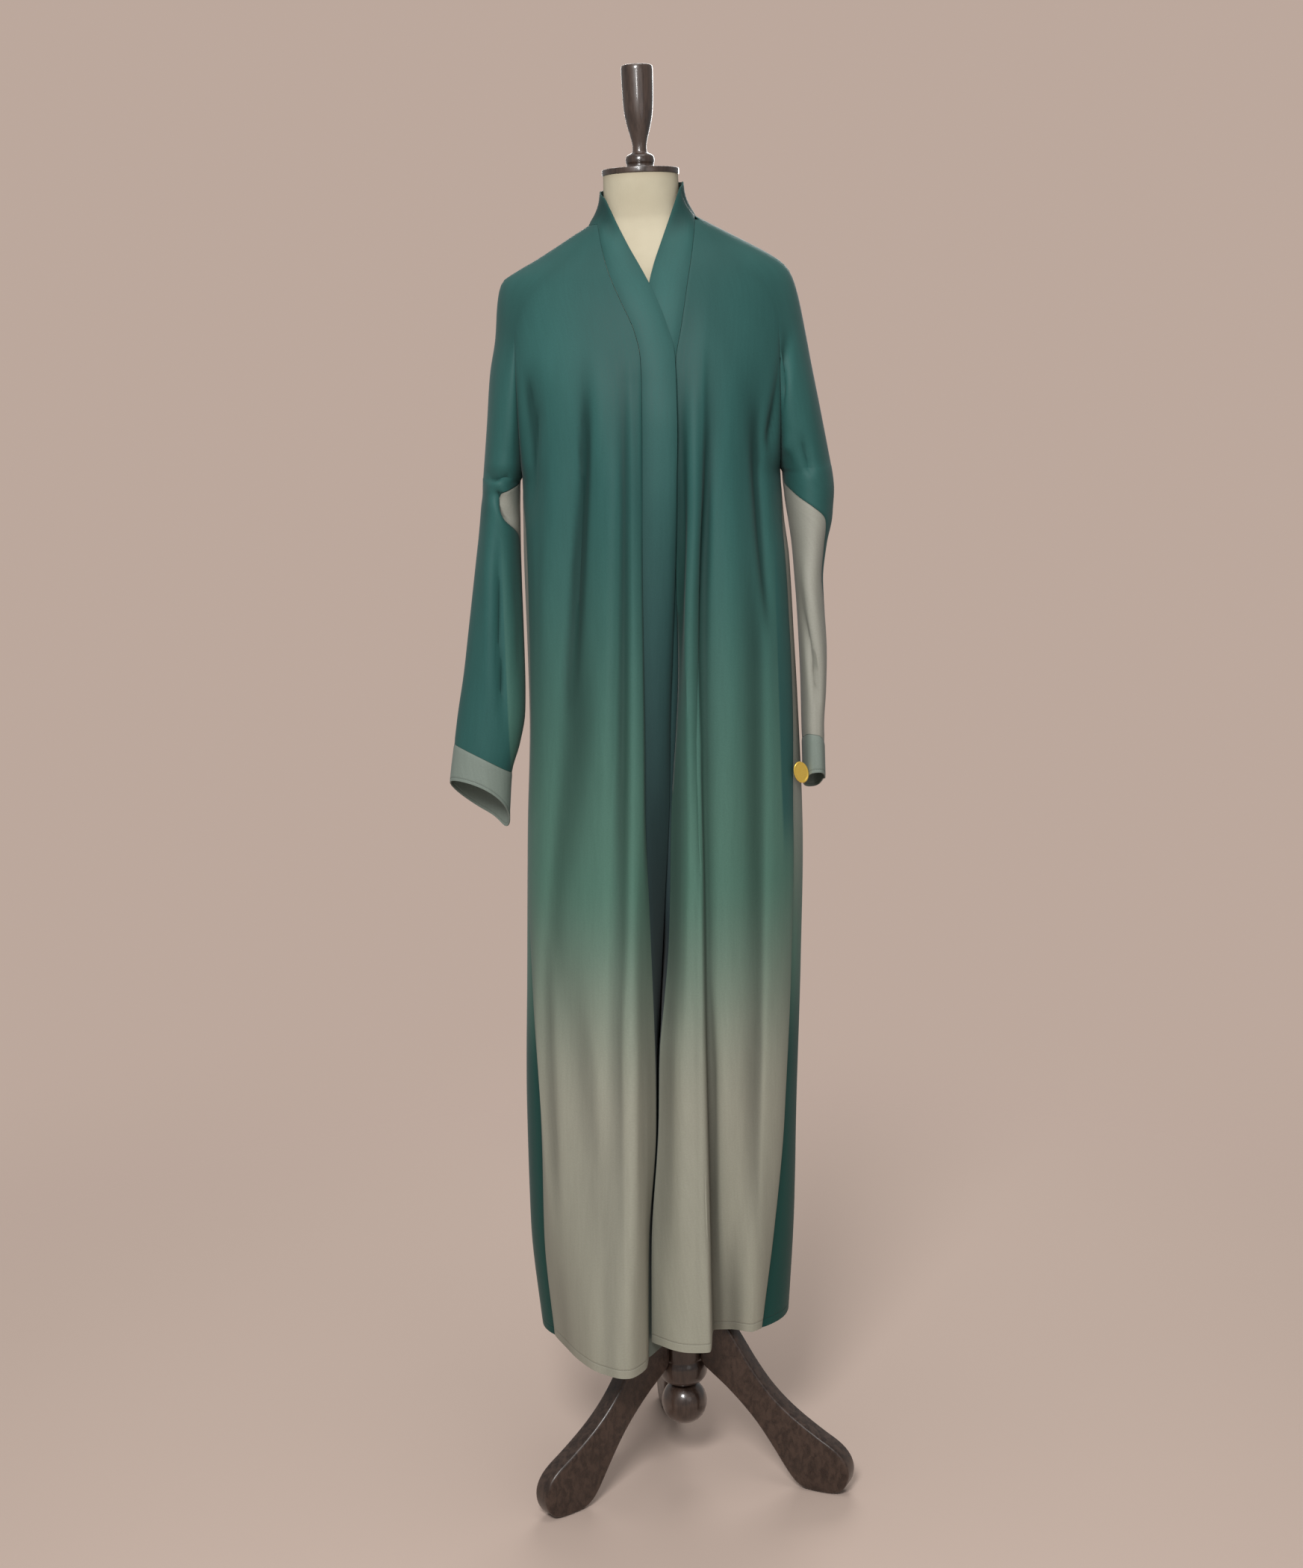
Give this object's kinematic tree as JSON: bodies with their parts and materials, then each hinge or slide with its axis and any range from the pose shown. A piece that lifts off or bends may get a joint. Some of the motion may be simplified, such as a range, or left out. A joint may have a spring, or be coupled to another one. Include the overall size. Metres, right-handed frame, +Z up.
{
  "type": "open-front abaya on tripod dress form",
  "caption": "Long open-front robe with wrist-length cuffed sleeves and a flat band edging, standing on a limbless dress form with a turned wooden tripod stand.",
  "frame": {"origin": "floor level under the middle of the bounding box", "axes": "+Z up, the garment's front faces -Y, the wearer's left is at +X"},
  "size_m": [0.4873, 0.3849, 1.7845],
  "materials": {
    "satin": "soft satin with a colour run to sage",
    "satin_back": "soft satin with a colour run to teal",
    "satin_cuff": "soft satin",
    "linen": "matt woven cover",
    "dark_wood": "varnished",
    "brass": "polished"
  },
  "bodies": {
    "root": {"front_right": "satin", "front_left": "satin", "band_right": "satin", "band_left": "satin", "back": "satin_back", "cuff_right": "satin_cuff", "cuff_left": "satin_cuff", "cuff_plate": "brass", "dress_form": "linen", "neck_cap": "dark_wood", "finial": "dark_wood", "pole": "dark_wood", "hub": "dark_wood", "ball": "dark_wood", "leg_right": "dark_wood", "leg_left": "dark_wood", "leg_rear": "dark_wood"}
  },
  "joints": []
}
